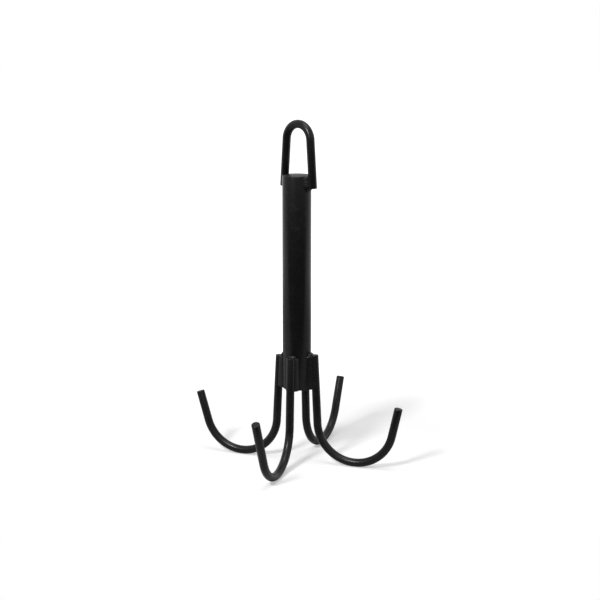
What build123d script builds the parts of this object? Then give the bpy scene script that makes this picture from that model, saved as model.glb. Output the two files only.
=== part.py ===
from build123d import *

import os
from math import acos, atan2, ceil, cos, degrees, hypot, radians, sin, sqrt, tan

# Hanging hook tree, welded from round steel and painted: a capped tube as the stem, a rod bent to an
# inverted U as the bail on its top, and four J-bent rods as the hooks round its foot. It hangs by the bail
# or stands on the four bends. Millimetres, +Z up, origin on the table under the stem's axis.

# Stem
STEM_DIAMETER = 28.4  # over the paint
STEM_WALL = 2.5
STEM_LENGTH = 214.0
STEM_LIFT = 77.0  # from the table up to the stem's lower end
STEM_EDGE = 0.6  # broken edge of the two outer rims
CAP_THICKNESS = 3.0
CAP_CLEARANCE = 0.05  # all round, cap in tube

# Rod of the hooks and of the bail
ROD_DIAMETER = 8.2  # over the paint
ROD_EDGE = 0.5  # broken edge of a cut end
ROD_CLEARANCE = 0.1  # from the stem, where a rod bears on it
BEND_STEP = 9.0  # most degrees between the sections that a bend is lofted through

# Hooks. A leg bears on the stem at its cut upper end and leans outwards from there.
HOOK_LEAN = 2.8  # leg from the vertical, degrees
HOOK_RADIUS = 39.1  # of the bend, to the rod's centreline

# Each hook's azimuth in degrees, its lap from the stem's lower end up to the rod's end, its straight tip, and that
# tip's lean from the vertical in degrees
RIGHT_AZIMUTH = 2.4
RIGHT_LAP = 35.0
RIGHT_TIP = 30.4
RIGHT_TIP_LEAN = 12.6
BACK_AZIMUTH = 86.1
BACK_LAP = 33.5
BACK_TIP = 35.1
BACK_TIP_LEAN = 22.3
LEFT_AZIMUTH = 180.1
LEFT_LAP = 32.0
LEFT_TIP = 31.2
LEFT_TIP_LEAN = 16.1
FRONT_AZIMUTH = 272.1
FRONT_LAP = 34.5
FRONT_TIP = 49.4
FRONT_TIP_LEAN = 24.1

# Bail. Its legs bear on the stem's upper rim and splay outwards below the crown.
BAIL_HEIGHT = 53.5  # from the stem's upper end to the top of the crown
CROWN_RADIUS = 15.7  # to the rod's centreline
BAIL_LAP = 12.0  # from the stem's upper end down to the rod's ends
BAIL_AZIMUTH = -21.8  # of the right leg, degrees
BAIL_OFFSET = 2.4  # from the stem's axis to the plane of the bail

# Weld beads
SIDE_TOE = 95.0  # where a side bead's face leaves the rod, degrees round it from its outermost line
SIDE_SLOPE = 27.0  # of that face towards the stem, degrees
SIDE_ROOT = 1.0  # unfilled half width of the seam between rod and stem
SIDE_SETBACK = 0.6  # a side bead's ends from the ends of the lap
END_WIDTH = 3.4  # of an end bead, out over the rod's cut end
END_HEIGHT = 4.0  # of an end bead, along the stem
END_LENGTH = 7.0  # of an end bead, across the rod
BEAD_TAPER = 1.8  # run in which a bead's face slopes in at its ends
BEAD_CLEARANCE = 0.05  # from the stem, all round

STEM_RADIUS = STEM_DIAMETER / 2
ROD_RADIUS = ROD_DIAMETER / 2
STEM_TOP = STEM_LIFT + STEM_LENGTH
BEARING_RADIUS = STEM_RADIUS + ROD_RADIUS + ROD_CLEARANCE


def upright(radius, bottom, top):
    """A round bar on the stem's axis."""
    return Pos(0, 0, bottom) * extrude(Circle(radius), top - bottom)


def stem_tube():
    """The stem's tube, with the edges of its two outer rims broken."""
    outside = upright(STEM_RADIUS, STEM_LIFT, STEM_TOP)
    outside = chamfer(outside.edges().filter_by(GeomType.CIRCLE), STEM_EDGE)
    return outside - upright(STEM_RADIUS - STEM_WALL, STEM_LIFT, STEM_TOP)


def end_cap(bottom):
    """A disc let into an end of the tube, flush with it."""
    return upright(STEM_RADIUS - STEM_WALL - CAP_CLEARANCE, bottom, bottom + CAP_THICKNESS)


def rod_section(line, place):
    """The rod's circle across a line in an upright plane along X, at a place from 0 to 1."""
    return Plane(line @ place, x_dir=(0, 1, 0), z_dir=line % place) * Circle(ROD_RADIUS)


def bent_rod(lines):
    """Round rod along straights and arcs that follow each other in one upright plane, its cut edges broken."""
    sections = [rod_section(lines[0], 0)]
    for line in lines:
        spans = 1
        if line.geom_type == GeomType.CIRCLE:
            spans = ceil(degrees(line.length / line.radius) / BEND_STEP)
        sections += [rod_section(line, i / spans) for i in range(1, spans + 1)]
    rod = loft(sections, ruled=True)
    return chamfer(rod.faces().filter_by(GeomType.PLANE).edges(), ROD_EDGE)


def hook_lines(lap, tip_length, tip_lean):
    """Centreline of a hook over the +X axis: leaning leg, bend down to the table and up again, leaning tip."""
    lean = radians(HOOK_LEAN)
    top = Vector(BEARING_RADIUS, STEM_LIFT + lap)
    drop = top.Y - ROD_RADIUS - HOOK_RADIUS * (1 - sin(lean))
    leg = Line(top, top + Vector(tan(lean), -1) * drop)
    centre = leg @ 1 + Vector(cos(lean), sin(lean)) * HOOK_RADIUS
    fall = CenterArc(centre, HOOK_RADIUS, 180 + HOOK_LEAN, 90 - HOOK_LEAN)
    rise = CenterArc(centre, HOOK_RADIUS, 270, 90 - tip_lean)
    tip = Line(rise @ 1, rise @ 1 + (rise % 1) * tip_length)
    return [Plane.XZ * line for line in (leg, fall, rise, tip)]


def bail_lines():
    """Centreline of the bail over the X axis: straight legs tangent to the crown, bearing on the stem's rim."""
    half_width = sqrt(BEARING_RADIUS**2 - BAIL_OFFSET**2)
    rise = BAIL_HEIGHT - ROD_RADIUS - CROWN_RADIUS
    splay = acos(CROWN_RADIUS / hypot(half_width, rise)) - atan2(rise, half_width)
    crown = CenterArc((0, STEM_TOP + rise), CROWN_RADIUS, degrees(splay), 180 - 2 * degrees(splay))
    foot = Vector(half_width + BAIL_LAP * tan(splay), STEM_TOP - BAIL_LAP)
    right_leg = Line(foot, crown @ 0)
    left_leg = Line(crown @ 1, (-foot.X, foot.Y))
    return [Pos(0, BAIL_OFFSET, 0) * (Plane.XZ * line) for line in (right_leg, crown, left_leg)]


def bead(plane, full, thin, run):
    """Weld metal along a plane's normal, of one outline that thins to another at both ends."""
    stations = ((0, thin), (BEAD_TAPER, full), (run - BEAD_TAPER, full), (run, thin))
    return loft([plane.offset(at) * Polygon(*outline, align=None) for at, outline in stations], ruled=True)


def side_outline(side, inset):
    """A side bead across the rod, from the rod's inside on into the stem, with its face moved in by inset."""
    toe = radians(SIDE_TOE)
    slope = radians(SIDE_SLOPE)
    rod_toe = Vector(cos(toe), sin(toe)) * ROD_RADIUS - Vector(sin(slope), cos(slope)) * inset
    in_stem = rod_toe + Vector(-cos(slope), sin(slope)) * STEM_RADIUS
    points = (Vector(0, SIDE_ROOT), rod_toe, in_stem, Vector(in_stem.X, SIDE_ROOT))
    return [(point.X, side * point.Y) for point in points]


def end_outline(stem_x, inset):
    """An end bead's triangle on the rod's cut end, twice its size so that it runs on into the stem."""
    toe_x = stem_x + END_WIDTH - inset
    in_stem_x = toe_x - 2 * END_WIDTH
    return [(toe_x, 0), (in_stem_x, 2 * END_HEIGHT), (in_stem_x, 0)]


def lap_beads(rod, end, out, lap):
    """The three beads that join a rod to the stem: along both sides of the lap and over the rod's cut end."""
    stem = upright(STEM_RADIUS + BEAD_CLEARANCE, 0, STEM_TOP + BAIL_HEIGHT)
    outward = Vector(end.X, end.Y)
    across = outward.cross(out).normalized()
    away = out.cross(across)
    along = Plane(end - out * SIDE_SETBACK, x_dir=away, z_dir=-out)
    run = lap - 2 * SIDE_SETBACK
    beads = {}
    for name, side in (("left", 1), ("right", -1)):
        full = bead(along, side_outline(side, 0), side_outline(side, BEAD_TAPER), run)
        beads[name] = full - stem - rod
    over_end = Plane(end - across * END_LENGTH / 2, x_dir=away, z_dir=across)
    stem_x = STEM_RADIUS - outward.length
    beads["end"] = bead(over_end, end_outline(stem_x, 0), end_outline(stem_x, BEAD_TAPER), END_LENGTH) - stem
    return beads


nodes = {
    "stem_tube": stem_tube(),
    "top_cap": end_cap(STEM_TOP - CAP_THICKNESS),
    "bottom_cap": end_cap(STEM_LIFT),
}

hooks = (
    ("right", RIGHT_AZIMUTH, RIGHT_LAP, RIGHT_TIP, RIGHT_TIP_LEAN),
    ("back", BACK_AZIMUTH, BACK_LAP, BACK_TIP, BACK_TIP_LEAN),
    ("left", LEFT_AZIMUTH, LEFT_LAP, LEFT_TIP, LEFT_TIP_LEAN),
    ("front", FRONT_AZIMUTH, FRONT_LAP, FRONT_TIP, FRONT_TIP_LEAN),
)
for name, azimuth, lap, tip_length, tip_lean in hooks:
    lines = hook_lines(lap, tip_length, tip_lean)
    hook = bent_rod(lines)
    nodes[f"hook_{name}"] = Rot(Z=azimuth) * hook
    leg = lines[0]
    for place, weld in lap_beads(hook, leg @ 0, -(leg % 0), lap).items():
        nodes[f"hook_{name}_weld_{place}"] = Rot(Z=azimuth) * weld

right_leg, crown, left_leg = bail_lines()
bail = bent_rod([right_leg, crown, left_leg])
nodes["bail"] = Rot(Z=BAIL_AZIMUTH) * bail
for name, end, out in (("right", right_leg @ 0, -(right_leg % 0)), ("left", left_leg @ 1, left_leg % 1)):
    for place, weld in lap_beads(bail, end, out, BAIL_LAP).items():
        nodes[f"bail_{name}_weld_{place}"] = Rot(Z=BAIL_AZIMUTH) * weld

os.makedirs("parts", exist_ok=True)
for name, shape in nodes.items():
    export_step(shape, f"parts/{name}.step")
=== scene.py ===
from math import acos, atan2, cos, hypot, pi, radians, sin, sqrt, tan

import bpy
from mathutils import Matrix, Vector


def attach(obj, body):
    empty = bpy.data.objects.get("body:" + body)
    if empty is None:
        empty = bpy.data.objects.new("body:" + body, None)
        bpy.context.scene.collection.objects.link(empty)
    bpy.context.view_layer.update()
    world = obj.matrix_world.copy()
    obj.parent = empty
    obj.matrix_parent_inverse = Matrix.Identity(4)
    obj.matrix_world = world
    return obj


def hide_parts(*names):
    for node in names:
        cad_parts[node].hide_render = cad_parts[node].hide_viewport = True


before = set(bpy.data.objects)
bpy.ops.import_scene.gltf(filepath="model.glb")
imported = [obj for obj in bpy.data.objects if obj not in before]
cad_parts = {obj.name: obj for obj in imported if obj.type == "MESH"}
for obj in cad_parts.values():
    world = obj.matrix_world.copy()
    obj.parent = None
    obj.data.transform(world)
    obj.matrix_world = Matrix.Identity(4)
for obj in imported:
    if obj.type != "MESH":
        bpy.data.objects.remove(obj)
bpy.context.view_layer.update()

MM = 0.001

# Stem
STEM_RADIUS = 14.2 * MM
STEM_WALL = 2.5 * MM
STEM_BOTTOM = 77.0 * MM
STEM_TOP = 291.0 * MM
STEM_EDGE = 0.6 * MM
STEM_SIDES = 128
RIM_UPRIGHT = 0.99  # a face whose normal is at least this upright belongs to a cut rim
CAP_THICKNESS = 3.0 * MM
CAP_CLEARANCE = 0.05 * MM
CAP_EDGE = 0.2 * MM
CAP_EDGE_STEPS = 2

# Rod of the hooks and of the bail
ROD_RADIUS = 4.1 * MM
ROD_EDGE = 0.5 * MM
ROD_CLEARANCE = 0.1 * MM  # from the stem, where a rod bears on it
ROD_SIDES = 64
BEND_STEPS = 56
BEARING_RADIUS = STEM_RADIUS + ROD_RADIUS + ROD_CLEARANCE

EDGE_STEPS = 3  # in the eased edges of stem and rods
SHARPEST_SMOOTH = radians(40.0)  # edges that turn more than this stay sharp

# Hooks. A leg bears on the stem at its cut upper end and leans outwards from there.
HOOK_LEAN = radians(2.8)
HOOK_RADIUS = 39.1 * MM

# Each hook's azimuth, lap on the stem, straight tip and that tip's lean, and then the width and the rise
# of the bead over its cut end. Degrees and millimetres.
HOOKS = {
    "right": (2.4, 35.0, 30.4, 12.6, 3.2, 2.6),
    "back": (86.1, 33.5, 35.1, 22.3, 3.0, 3.2),
    "left": (180.1, 32.0, 31.2, 16.1, 2.4, 5.2),
    "front": (272.1, 34.5, 49.4, 24.1, 3.0, 2.6),
}

# Bail
BAIL_HEIGHT = 53.5 * MM
CROWN_RADIUS = 15.7 * MM
BAIL_LAP = 12.0 * MM
BAIL_AZIMUTH = radians(-21.8)
BAIL_OFFSET = 2.4 * MM
BAIL_END_BEAD = (3.2 * MM, 3.6 * MM)  # width and rise

# Weld beads, laid as overlapping puddles. Each is a blob and a thin coin that stands out of it as a ripple.
PUDDLE_SEGMENTS = 24
PUDDLE_RINGS = 14
BEAD_VOXEL = 0.28 * MM
BEAD_EASE = 0.5
BEAD_EASE_ROUNDS = 4
BEAD_ROOT_RADIUS = STEM_RADIUS - 1.8 * MM  # no bead goes deeper into the tube's wall

# Beads down the sides of a lap
ROD_TOE = radians(97.0)  # where a bead's face leaves the rod, round it from its outermost line
FACE_SLOPE = radians(26.0)  # of that face towards the stem
TOE_OVERLAP = 1.42  # a puddle's width as a share of the face, so that it runs on into rod and stem
SIDE_SETBACK = 2.0 * MM  # middle of the outermost puddles from the ends of the lap
SIDE_PITCH = 1.5 * MM
SIDE_DEPTH = 1.3 * MM  # middle of a puddle under the face
SIDE_BLOB = (1.6 * MM, 2.0 * MM)  # half sizes out of the face and along the seam
SIDE_COIN = (2.1 * MM, 0.85 * MM)  # half height and half thickness
SIDE_COIN_SHARE = 0.96  # a coin's width as a share of its blob's
SIDE_COIN_TILT = radians(38.0)
WANDER = 0.1 * MM  # of the puddles to and fro across the face
WANDER_TURN = 2.4  # radians from one puddle to the next
WANDER_START = 1.3  # radians, the other way round on the other side

# Beads over the cut ends
END_RUN = 5.4 * MM  # across the rod, between the outermost puddles
END_SPACES = 6
END_SINK = 0.4 * MM  # middle of a puddle into the stem
END_DROP = 0.3 * MM  # middle of a puddle into the rod
END_TAPER = 0.2  # share by which the outermost puddles are smaller
END_BLOB = 1.6 * MM  # half size along the bead
END_COIN = 0.6 * MM  # half thickness
END_COIN_HEIGHT = 0.25 * MM  # out of its blob
END_COIN_LEAN = 0.35

# Black paint
BLACK = (0.0022, 0.0022, 0.0023, 1.0)
WORN_BLACK = (0.006, 0.006, 0.0062, 1.0)
DUST = (0.03, 0.03, 0.03, 1.0)
PAINT_REFRACTION = 1.5
PAINT_SPECULAR = 0.24
PEEL_DEPTH = 0.12 * MM

# Textures of the paint: scale, detail and roughness of each noise
CLOUD = (70.0, 3.0, 0.55)
PATCH = (190.0, 2.0, 0.6)
PEEL = (430.0, 2.0, 0.5)
FINE_PEEL = (1900.0, 1.0, 0.5)
SPECKS = (820.0, 1.0, 0.4)
NOISE_MIDDLE = 0.5

# Noise values between which specks and rubbed places set in, and how much each texture counts
SPECKS_FROM = (0.73, 0.78)
RUBBED_PATCH = (0.52, 0.74)
RUBBED_CLOUD = (0.42, 0.66)
RUBBED_TINT = 0.8
RUBBED_DULLNESS = 0.08
SPECK_TINT = 0.3
SPECK_DULLNESS = 0.2
PATCH_MOTTLE = 0.6
PEEL_HEIGHT = 0.5
FINE_PEEL_HEIGHT = 0.12

# Floor, in metres
SHEET_FRONT = 0.16  # from the stem's axis to the middle of the front edge
SHEET_LENGTH = 8.0
SHEET_SWEEP = 0.15  # how far the front edge comes forward for each metre to the sides
FLOOR_COLOUR = (0.68, 0.68, 0.68, 1)
NEAR_WHITE = 0.4  # share of its own white that the floor shows near the stem
FULL_WHITE = (0.17, 0.46)  # distances from the stem between which that grows to all
MIRRORED_WHITE = 0.85  # share of its own white that the distant floor shows in reflections
MIRRORED_FROM = (0.57, 1.026)  # distances between which that sets in
MIRRORED_SHIFT = 0.14  # share by which it sets in nearer on the right and farther out on the left

# Room
WHITE = (1, 1, 1, 1)
ROOM_LIGHT = 0.3
ROOM_WHITE = 1.0  # as the camera sees it and as the paint mirrors it
ROOM_DIM = 0.16  # low down, on the camera's side
DIM_RISE = 0.12  # how high the dim part reaches in front
DIM_BLUR = 0.05

# Lamps
LAMP_TARGET = Vector((0, 0, 100.0)) * MM
LAMP_DISTANCE = 1.2

# View of the photograph
VIEW_AZIMUTH = radians(21.17)
VIEW_ELEVATION = radians(12.3)
VIEW_DISTANCE = 1371.5 * MM
VIEW_TARGET = Vector((2.91, 1.12, 166.63)) * MM
LENS = 82.98
SENSOR = 36.0


# Working in Blender

def deselect():
    bpy.ops.object.select_all(action="DESELECT")


def apply_place():
    """Puts the active object's place and turn into its mesh."""
    bpy.ops.object.transform_apply(location=True, rotation=True, scale=True)


def edit():
    bpy.ops.object.mode_set(mode="EDIT")


def leave_smooth():
    """Leaves edit mode and shades the piece smooth between its sharp edges."""
    bpy.ops.object.mode_set(mode="OBJECT")
    bpy.ops.object.shade_smooth_by_angle(angle=SHARPEST_SMOOTH)


def select_cut_ends():
    """Selects the flat many-sided faces of the mesh in edit mode."""
    bpy.ops.mesh.select_mode(type="FACE")
    bpy.ops.mesh.select_all(action="DESELECT")
    bpy.ops.mesh.select_face_by_sides(number=4, type="GREATER", extend=False)


def ease_cut_edges(width, steps):
    """Rounds the edges of the cut ends of the mesh in edit mode."""
    select_cut_ends()
    bpy.ops.mesh.region_to_loop()
    bpy.ops.mesh.bevel(offset=width, segments=steps)


def turn_about_stem(piece, azimuth):
    deselect()
    piece.select_set(True)
    bpy.context.view_layer.objects.active = piece
    piece.rotation_euler = (0, 0, azimuth)
    apply_place()
    return piece


def finish_piece(piece, name, node, materials):
    """Names and paints a piece that takes the place of a CAD node."""
    piece.name = name
    piece.data.name = name
    for material in materials:
        piece.data.materials.append(material)
    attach(piece, "root")
    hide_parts(node)


# Rods

def bent_rod(start, heading, first, centre, turn, last):
    """Rod over the X axis: a straight, a bend about the Y direction, and a straight, with eased cut edges."""
    deselect()
    bpy.ops.mesh.primitive_circle_add(
        vertices=ROD_SIDES, radius=ROD_RADIUS, fill_type="NOTHING",
        location=start, rotation=(0, heading, 0))
    rod = bpy.context.object
    apply_place()
    edit()
    bpy.ops.mesh.select_all(action="SELECT")
    ahead = Vector((sin(heading), 0, cos(heading)))
    bpy.ops.mesh.extrude_region_move(TRANSFORM_OT_translate={"value": ahead * first})
    bpy.ops.mesh.spin(steps=BEND_STEPS, angle=-turn, center=centre, axis=(0, 1, 0))
    ahead = Matrix.Rotation(turn, 3, "Y") @ ahead
    bpy.ops.mesh.extrude_region_move(TRANSFORM_OT_translate={"value": ahead * last})
    bpy.ops.mesh.select_all(action="SELECT")
    bpy.ops.mesh.fill_holes(sides=0)
    bpy.ops.mesh.normals_make_consistent(inside=False)
    ease_cut_edges(ROD_EDGE, EDGE_STEPS)
    leave_smooth()
    for face in rod.data.polygons:
        face.material_index = int(len(face.vertices) > 4)
    return rod


def hook_rod(lap, tip, tip_lean):
    """A hook over the +X axis, and the point and direction of its cut upper end."""
    top = Vector((BEARING_RADIUS, 0, STEM_BOTTOM + lap))
    drop = top.z - ROD_RADIUS - HOOK_RADIUS * (1 - sin(HOOK_LEAN))
    leg = drop / cos(HOOK_LEAN)
    down = Vector((sin(HOOK_LEAN), 0, -cos(HOOK_LEAN)))
    centre = top + down * leg + Vector((cos(HOOK_LEAN), 0, sin(HOOK_LEAN))) * HOOK_RADIUS
    turn = pi - HOOK_LEAN - tip_lean
    rod = bent_rod(top, pi - HOOK_LEAN, leg, centre, -turn, tip)
    return rod, top, -down


def bail_rod():
    """The bail over the X axis, and the points and directions of its two cut ends."""
    half_width = sqrt(BEARING_RADIUS**2 - BAIL_OFFSET**2)
    rise = BAIL_HEIGHT - ROD_RADIUS - CROWN_RADIUS
    splay = acos(CROWN_RADIUS / hypot(half_width, rise)) - atan2(rise, half_width)
    foot = Vector((half_width + BAIL_LAP * tan(splay), BAIL_OFFSET, STEM_TOP - BAIL_LAP))
    centre = Vector((0, BAIL_OFFSET, STEM_TOP + rise))
    crown_end = centre + Vector((cos(splay), 0, sin(splay))) * CROWN_RADIUS
    leg = (crown_end - foot).length
    rod = bent_rod(foot, -splay, leg, centre, -(pi - 2 * splay), leg)
    out = Vector((sin(splay), 0, -cos(splay)))
    mirror = Vector((-1, 1, 1))
    return rod, (foot, out), (foot * mirror, out * mirror)


# Stem

def round_bar(radius, bottom, top, edge, edge_steps):
    """An upright bar on the stem's axis with eased edges, left in edit mode."""
    deselect()
    bpy.ops.mesh.primitive_cylinder_add(
        vertices=STEM_SIDES, radius=radius, depth=top - bottom, end_fill_type="NGON",
        location=(0, 0, (top + bottom) / 2))
    bar = bpy.context.object
    apply_place()
    edit()
    ease_cut_edges(edge, edge_steps)
    return bar


def stem_tube():
    """The tube, with its outer rims eased."""
    stem = round_bar(STEM_RADIUS, STEM_BOTTOM, STEM_TOP, STEM_EDGE, EDGE_STEPS)
    select_cut_ends()
    bpy.ops.mesh.inset(thickness=STEM_WALL - STEM_EDGE)
    bpy.ops.mesh.bridge_edge_loops()
    bpy.ops.mesh.select_all(action="SELECT")
    bpy.ops.mesh.normals_make_consistent(inside=False)
    leave_smooth()
    for face in stem.data.polygons:
        face.material_index = int(abs(face.normal.z) > RIM_UPRIGHT)
    return stem


def cap_disc(bottom):
    """A disc let into an end of the tube."""
    radius = STEM_RADIUS - STEM_WALL - CAP_CLEARANCE
    cap = round_bar(radius, bottom, bottom + CAP_THICKNESS, CAP_EDGE, CAP_EDGE_STEPS)
    leave_smooth()
    return cap


# Welds

def keep_in_wall(bead):
    """Moves what goes too deep into the tube's wall back out."""
    for vertex in bead.data.vertices:
        stretch = BEAD_ROOT_RADIUS / hypot(vertex.co.x, vertex.co.y)
        if stretch > 1:
            vertex.co.x *= stretch
            vertex.co.y *= stretch


def lay_bead(puddles):
    """One bead fused from copies of a puddle, each given as centre, three axes and three half sizes."""
    deselect()
    bpy.ops.mesh.primitive_uv_sphere_add(segments=PUDDLE_SEGMENTS, ring_count=PUDDLE_RINGS, radius=1.0)
    bead = bpy.context.object
    pieces = [bead]
    for _ in puddles[1:]:
        puddle = bead.copy()
        puddle.data = bead.data.copy()
        bpy.context.scene.collection.objects.link(puddle)
        puddle.select_set(True)
        pieces.append(puddle)
    for piece, (centre, axes, sizes) in zip(pieces, puddles):
        turn = Matrix(axes).transposed().to_4x4()
        piece.matrix_world = Matrix.Translation(centre) @ turn @ Matrix.Diagonal((*sizes, 1.0))
    bpy.ops.object.join()
    apply_place()
    bpy.ops.object.modifier_add(type="REMESH")
    fuse = bead.modifiers[-1]
    fuse.mode = "VOXEL"
    fuse.voxel_size = BEAD_VOXEL
    bpy.ops.object.modifier_apply(modifier=fuse.name)
    bpy.ops.object.modifier_add(type="SMOOTH")
    ease = bead.modifiers[-1]
    ease.factor = BEAD_EASE
    ease.iterations = BEAD_EASE_ROUNDS
    bpy.ops.object.modifier_apply(modifier=ease.name)
    keep_in_wall(bead)
    bpy.ops.object.shade_smooth()
    return bead


def seam_axes(end, out):
    """The way from the stem's axis to a rod's cut end, the direction across the rod, and that off the stem."""
    outward = Vector((end.x, end.y, 0))
    across = outward.cross(out).normalized()
    return outward, across, out.cross(across)


def face_width(rod_distance):
    """A side bead's face from rod to stem, with the rod's centre this far from the stem's axis."""
    x = rod_distance + ROD_RADIUS * cos(ROD_TOE)
    y = ROD_RADIUS * sin(ROD_TOE)
    middle = x * cos(FACE_SLOPE) - y * sin(FACE_SLOPE)
    return middle - sqrt(middle**2 - x**2 - y**2 + STEM_RADIUS**2)


def side_bead(end, out, lap, side, lean):
    """A rippled bead down one side of a lap, between the rod and the stem."""
    outward, across, away = seam_axes(end, out)
    beside = across * side
    slope = beside * sin(FACE_SLOPE) - away * cos(FACE_SLOPE)
    normal = away * sin(FACE_SLOPE) + beside * cos(FACE_SLOPE)
    toe = (away * cos(ROD_TOE) + beside * sin(ROD_TOE)) * ROD_RADIUS
    coin = out * cos(SIDE_COIN_TILT) + normal * sin(SIDE_COIN_TILT)
    blob_axes = (slope, normal, slope.cross(normal))
    coin_axes = (slope, coin.cross(slope), coin)
    run = lap - 2 * SIDE_SETBACK
    spaces = round(run / SIDE_PITCH)
    puddles = []
    for i in range(spaces + 1):
        down = SIDE_SETBACK + run * i / spaces
        width = face_width(outward.length + down * sin(lean))
        half = width / 2 * TOE_OVERLAP
        wander = WANDER * sin(WANDER_TURN * i + WANDER_START * side)
        centre = end - out * down + toe + slope * (width / 2 + wander) - normal * SIDE_DEPTH
        puddles.append((centre, blob_axes, (half, *SIDE_BLOB)))
        puddles.append((centre, coin_axes, (half * SIDE_COIN_SHARE, *SIDE_COIN)))
    return lay_bead(puddles)


def end_bead(end, out, width, rise):
    """A rippled bead over a rod's cut end, in the corner that it makes with the stem."""
    outward, across, away = seam_axes(end, out)
    corner = end + away * (STEM_RADIUS - outward.length)
    coin = (across + (away + out) * END_COIN_LEAN).normalized()
    first = (away - coin * away.dot(coin)).normalized()
    blob_axes = (away, out, across)
    coin_axes = (first, coin.cross(first), coin)
    puddles = []
    for i in range(END_SPACES + 1):
        place = i / END_SPACES - 0.5
        along = place * END_RUN
        dip = STEM_RADIUS - sqrt(STEM_RADIUS**2 - along**2)
        centre = corner + across * along - away * (dip + END_SINK) - out * END_DROP
        share = 1 - END_TAPER * (2 * place)**2
        half_width = width * share
        half_rise = rise * share
        puddles.append((centre, blob_axes, (half_width, half_rise, END_BLOB)))
        coin_sizes = (half_width + END_COIN_HEIGHT, half_rise + END_COIN_HEIGHT, END_COIN)
        puddles.append((centre, coin_axes, coin_sizes))
    return lay_bead(puddles)


# Shaders

class Field:
    """A value that varies over a surface: the output of a shader node."""

    def __init__(self, tree, socket):
        self.tree = tree
        self.socket = socket

    def math(self, operation, first, second):
        return self.tree.node("ShaderNodeMath", {"operation": operation}, {0: first, 1: second})

    def __add__(self, other):
        return self.math("ADD", self, other)

    def __radd__(self, other):
        return self.math("ADD", other, self)

    def __sub__(self, other):
        return self.math("SUBTRACT", self, other)

    def __rsub__(self, other):
        return self.math("SUBTRACT", other, self)

    def __mul__(self, other):
        return self.math("MULTIPLY", self, other)

    def __rmul__(self, other):
        return self.math("MULTIPLY", other, self)


class Tree:
    """The node tree of a material or of the world."""

    def __init__(self, owner):
        owner.use_nodes = True
        self.owner = owner
        self.nodes = owner.node_tree.nodes
        self.links = owner.node_tree.links
        self.nodes.clear()

    def node(self, kind, settings=None, sockets=None, out=0):
        """A node of a type, with its settings and then the values or links of its sockets."""
        made = self.nodes.new(kind)
        for name, value in (settings or {}).items():
            setattr(made, name, value)
        for name, value in (sockets or {}).items():
            if isinstance(value, Field):
                self.links.new(value.socket, made.inputs[name])
            else:
                made.inputs[name].default_value = value
        return Field(self, made.outputs[out]) if made.outputs else None

    def place(self):
        return self.node("ShaderNodeTexCoord", out="Object")

    def ray(self, kind):
        """1 for light paths of a kind, else 0."""
        return self.node("ShaderNodeLightPath", out=f"Is {kind} Ray")

    def noise(self, vector, scale, detail, roughness):
        return self.node("ShaderNodeTexNoise", None,
                         {"Vector": vector, "Scale": scale, "Detail": detail, "Roughness": roughness})

    def step(self, value, low, high):
        """0 below low, 1 above high, eased between."""
        return self.node("ShaderNodeMapRange", {"interpolation_type": "SMOOTHSTEP"},
                         {"Value": value, "From Min": low, "From Max": high})

    def length(self, vector):
        return self.node("ShaderNodeVectorMath", {"operation": "LENGTH"}, {0: vector}, out="Value")

    def reach(self, vector, direction):
        """How far a vector reaches in a direction."""
        return self.node("ShaderNodeVectorMath", {"operation": "DOT_PRODUCT"},
                         {0: vector, 1: direction}, out="Value")

    def mix(self, factor, first, second):
        return self.node("ShaderNodeMix", {"data_type": "RGBA"},
                         {"Factor": factor, 6: first, 7: second}, out=2)

    def mix_shader(self, factor, first, second):
        return self.node("ShaderNodeMixShader", None, {0: factor, 1: first, 2: second})

    def background(self, strength):
        return self.node("ShaderNodeBackground", None, {"Color": WHITE, "Strength": strength})


def black_paint(name, roughness, peel, mottle):
    """Black paint on steel: cloudy gloss, a fine peel, dull rubbed places and a few specks."""
    tree = Tree(bpy.data.materials.new(name))
    place = tree.place()
    cloud = tree.noise(place, *CLOUD)
    patch = tree.noise(place, *PATCH)
    speck = tree.step(tree.noise(place, *SPECKS), *SPECKS_FROM)
    rubbed = tree.step(patch, *RUBBED_PATCH) * tree.step(cloud, *RUBBED_CLOUD)
    colour = tree.mix(rubbed * RUBBED_TINT, BLACK, WORN_BLACK)
    colour = tree.mix(speck * SPECK_TINT, colour, DUST)
    clouded = roughness + (cloud - NOISE_MIDDLE) * mottle + (patch - NOISE_MIDDLE) * mottle * PATCH_MOTTLE
    dull = clouded + rubbed * RUBBED_DULLNESS + speck * SPECK_DULLNESS
    height = patch + tree.noise(place, *PEEL) * PEEL_HEIGHT + tree.noise(place, *FINE_PEEL) * FINE_PEEL_HEIGHT
    bump = tree.node("ShaderNodeBump", None, {"Strength": peel, "Distance": PEEL_DEPTH, "Height": height})
    shader = tree.node("ShaderNodeBsdfPrincipled", None, {
        "Base Color": colour, "Roughness": dull, "Normal": bump,
        "IOR": PAINT_REFRACTION, "Specular IOR Level": PAINT_SPECULAR})
    tree.node("ShaderNodeOutputMaterial", None, {"Surface": shader})
    return tree.owner


rod_paint = black_paint("black_paint_on_rod", roughness=0.29, peel=0.25, mottle=0.14)
stem_paint = black_paint("black_paint_on_stem", roughness=0.28, peel=0.2, mottle=0.12)
weld_paint = black_paint("black_paint_on_weld", roughness=0.3, peel=0.25, mottle=0.16)
cut_paint = black_paint("black_paint_on_cut_ends", roughness=0.48, peel=0.4, mottle=0.2)


# The object

def weld_lap(prefix, node, end, out, lap, lean, end_sizes, azimuth):
    """The three beads at a rod's lap: down its two sides and over its cut end."""
    for place, side in (("left", 1), ("right", -1)):
        bead = turn_about_stem(side_bead(end, out, lap, side, lean), azimuth)
        finish_piece(bead, f"{prefix}_bead_{place}", f"{node}_weld_{place}", [weld_paint])
    bead = turn_about_stem(end_bead(end, out, *end_sizes), azimuth)
    finish_piece(bead, f"{prefix}_bead_end", f"{node}_weld_end", [weld_paint])


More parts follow.
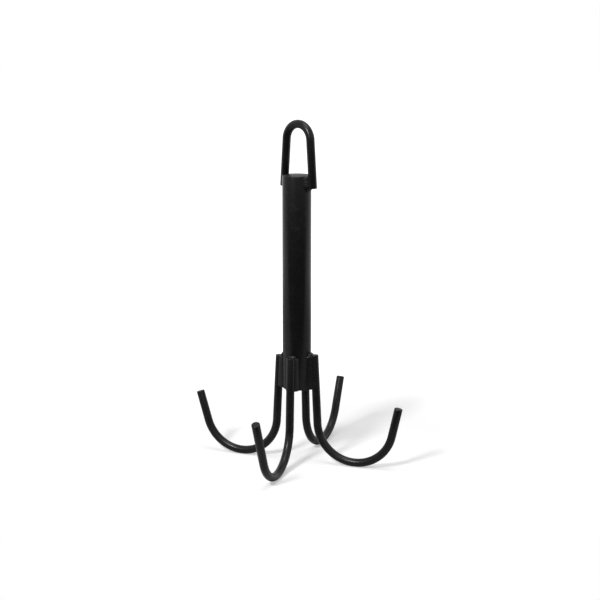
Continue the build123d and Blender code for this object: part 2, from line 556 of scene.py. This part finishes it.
finish_piece(stem_tube(), "stem", "stem_tube", [stem_paint, cut_paint])
finish_piece(cap_disc(STEM_TOP - CAP_THICKNESS), "stem_top_disc", "top_cap", [cut_paint])
finish_piece(cap_disc(STEM_BOTTOM), "stem_bottom_disc", "bottom_cap", [cut_paint])

for name, (azimuth, lap, tip, tip_lean, bead_width, bead_rise) in HOOKS.items():
    rod, end, out = hook_rod(lap * MM, tip * MM, radians(tip_lean))
    turn_about_stem(rod, radians(azimuth))
    finish_piece(rod, f"{name}_hook", f"hook_{name}", [rod_paint, cut_paint])
    end_sizes = (bead_width * MM, bead_rise * MM)
    weld_lap(f"{name}_hook", f"hook_{name}", end, out, lap * MM, HOOK_LEAN, end_sizes, radians(azimuth))

rod, right_foot, left_foot = bail_rod()
turn_about_stem(rod, BAIL_AZIMUTH)
finish_piece(rod, "hanging_bail", "bail", [rod_paint, cut_paint])
for name, (end, out) in (("right", right_foot), ("left", left_foot)):
    weld_lap(f"bail_{name}", f"bail_{name}", end, out, BAIL_LAP, 0.0, BAIL_END_BEAD, BAIL_AZIMUTH)


# Floor, light and camera

def toward(azimuth, elevation):
    """Direction from the object to a viewer at an azimuth and an elevation."""
    return Vector((sin(azimuth) * cos(elevation), -cos(azimuth) * cos(elevation), sin(elevation)))


def white_floor():
    """A lit floor with a white of its own, which fills out for the camera and, farther off, in reflections."""
    tree = Tree(bpy.data.materials.new("white_floor"))
    away = tree.length(tree.place())
    to_right = tree.reach(tree.place(), toward(VIEW_AZIMUTH + pi / 2, 0))
    own_white = NEAR_WHITE + (1 - NEAR_WHITE) * tree.step(away, *FULL_WHITE)
    distant = tree.step(away + to_right * MIRRORED_SHIFT, *MIRRORED_FROM)
    seen = tree.ray("Camera") + tree.ray("Transmission")
    shown = seen * own_white + tree.ray("Glossy") * distant * MIRRORED_WHITE
    lit = tree.node("ShaderNodeBsdfDiffuse", None, {"Color": FLOOR_COLOUR})
    white = tree.node("ShaderNodeEmission", None, {"Color": WHITE, "Strength": 1.0})
    glow = tree.node("ShaderNodeMixShader", None, {0: shown, 2: white})
    surface = tree.node("ShaderNodeAddShader", None, {0: lit, 1: glow})
    tree.node("ShaderNodeOutputMaterial", None, {"Surface": surface})
    return tree.owner


def white_room():
    """A white room that lights the object softly, and is dim low down on the camera's side."""
    tree = Tree(bpy.data.worlds.new("studio"))
    white = tree.background(ROOM_WHITE)
    direction = tree.node("ShaderNodeTexCoord", out="Generated")
    rise = tree.node("ShaderNodeSeparateXYZ", None, {0: direction}, out="Z")
    front = tree.reach(direction, toward(VIEW_AZIMUTH, 0))
    clear_of_front = tree.step(rise - front * DIM_RISE, -DIM_BLUR, DIM_BLUR)
    above = tree.mix_shader(tree.ray("Glossy"), tree.background(ROOM_LIGHT), white)
    room = tree.mix_shader(clear_of_front, tree.background(ROOM_DIM), above)
    seen = tree.ray("Camera") + tree.ray("Transmission")
    tree.node("ShaderNodeOutputWorld", None, {"Surface": tree.mix_shader(seen, room, white)})
    return tree.owner


def lamp(name, shape, size, power, azimuth, elevation):
    """An area lamp that looks at the hooks, its direction counted from the camera's azimuth."""
    light = bpy.data.lights.new(name, "AREA")
    light.shape = shape
    light.size = size
    light.size_y = size
    light.energy = power
    made = bpy.data.objects.new(name, light)
    aim = toward(VIEW_AZIMUTH + radians(azimuth), radians(elevation))
    made.location = LAMP_TARGET + aim * LAMP_DISTANCE
    made.rotation_euler = aim.to_track_quat("Z", "Y").to_euler()
    made.visible_camera = False
    scene.collection.objects.link(made)


scene = bpy.context.scene

deselect()
bpy.ops.mesh.primitive_grid_add(
    x_subdivisions=2, y_subdivisions=1, size=SHEET_LENGTH, rotation=(0, 0, VIEW_AZIMUTH))
floor = bpy.context.object
for vertex in floor.data.vertices:
    if vertex.co.y < 0:
        vertex.co.y -= SHEET_SWEEP * abs(vertex.co.x)
floor.name = "floor"
floor.location = toward(VIEW_AZIMUTH, 0) * (SHEET_FRONT - SHEET_LENGTH / 2)
apply_place()
floor.data.materials.append(white_floor())

scene.world = white_room()
lamp("key", "ELLIPSE", size=0.22, power=10.2, azimuth=-31.3, elevation=39.0)
lamp("softbox", "RECTANGLE", size=0.6, power=4.8, azimuth=13.0, elevation=82.0)

camera = bpy.data.objects.new("camera", bpy.data.cameras.new("camera"))
camera.data.lens = LENS
camera.data.sensor_width = SENSOR
camera.location = VIEW_TARGET + toward(VIEW_AZIMUTH, VIEW_ELEVATION) * VIEW_DISTANCE
camera.rotation_euler = toward(VIEW_AZIMUTH, VIEW_ELEVATION).to_track_quat("Z", "Y").to_euler()
scene.collection.objects.link(camera)
scene.camera = camera
scene.view_settings.view_transform = "Standard"
